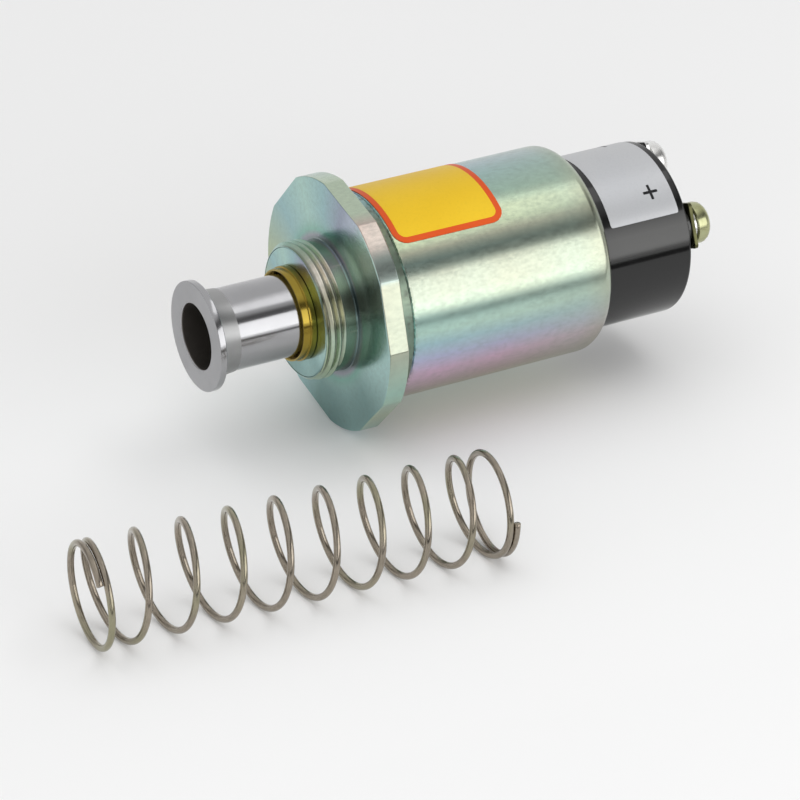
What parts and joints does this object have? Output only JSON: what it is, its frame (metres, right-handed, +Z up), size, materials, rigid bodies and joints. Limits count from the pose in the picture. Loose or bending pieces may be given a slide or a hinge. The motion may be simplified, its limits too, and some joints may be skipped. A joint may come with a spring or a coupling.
{
  "type": "fuel shut-off solenoid",
  "caption": "Pull solenoid with a threaded boss and hex flange, hollow rimmed plunger, built-in pull-in switch, rear screw terminals and a loose return spring.",
  "frame": {"origin": "on the solenoid's axis, in the plane of the hex flange's front seating face, which is the centre of the hole that the boss screws into", "axes": "+X along the axis from the plunger to the terminals, +Z up with the solenoid and the loose spring lying on one level, +Y away from the loose spring"},
  "size_m": [0.1626, 0.0991, 0.0528],
  "materials": {
    "zinc_plate": "iridescent yellow zinc plate over turned and drawn steel",
    "machined_steel": "bare machined",
    "brass": "turned",
    "copper": "drawn",
    "spring_steel": "bare drawn wire with a brown cast",
    "bright_tin": "bright plated",
    "yellow_screw": "yellow passivated",
    "black_phenolic": "satin moulded",
    "bobbin_nylon": "moulded",
    "fibre": "pressed sheet",
    "tape": "woven tape",
    "gasket_rubber": "matt",
    "yellow_sticker": "gloss vinyl with an orange border",
    "silver_label": "satin foil"
  },
  "bodies": {
    "root": {"mounting_flange": "zinc_plate", "housing_shell": "zinc_plate", "guide_tube": "brass", "front_washer": "fibre", "coil_bobbin": "bobbin_nylon", "pull_in_winding": "copper", "hold_in_winding": "copper", "winding_wrap": "tape", "fixed_core": "machined_steel", "rear_pole_plate": "machined_steel", "insulating_disc": "fibre", "contact_carrier": "black_phenolic", "live_contact": "copper", "coil_contact": "copper", "contact_spring": "spring_steel", "pull_in_lead": "copper", "ground_lead": "copper", "end_cap": "black_phenolic", "cap_gasket": "gasket_rubber", "positive_insert": "brass", "negative_insert": "brass", "positive_lug": "bright_tin", "negative_lug": "bright_tin", "lock_washers": "bright_tin", "positive_screw": "yellow_screw", "negative_screw": "bright_tin", "body_sticker": "yellow_sticker", "polarity_label": "silver_label"},
    "switch_rod": {"switch_rod": "machined_steel", "contact_bridge": "copper", "bridge_bush": "bobbin_nylon", "bridge_clip": "spring_steel"},
    "plunger": {"plunger": "machined_steel"},
    "loose_spring": {"return_spring": "spring_steel"}
  },
  "joints": [
    {"name": "switch_rod_slide", "type": "slide", "parent": "root", "child": "switch_rod", "axis": [1, 0, 0], "range_m": [0, 0.0012], "stiffness_N_per_m": 500, "springref_m": -0.002, "deforming": ["contact_spring"]},
    {"name": "plunger_slide", "type": "slide", "parent": "switch_rod", "child": "plunger", "axis": [-1, 0, 0], "range_m": [0, 0.0254]},
    {"name": "return_spring_lift", "type": "slide", "parent": "root", "child": "loose_spring", "axis": [0, 0, 1], "range_m": [0, 0.03]}
  ]
}
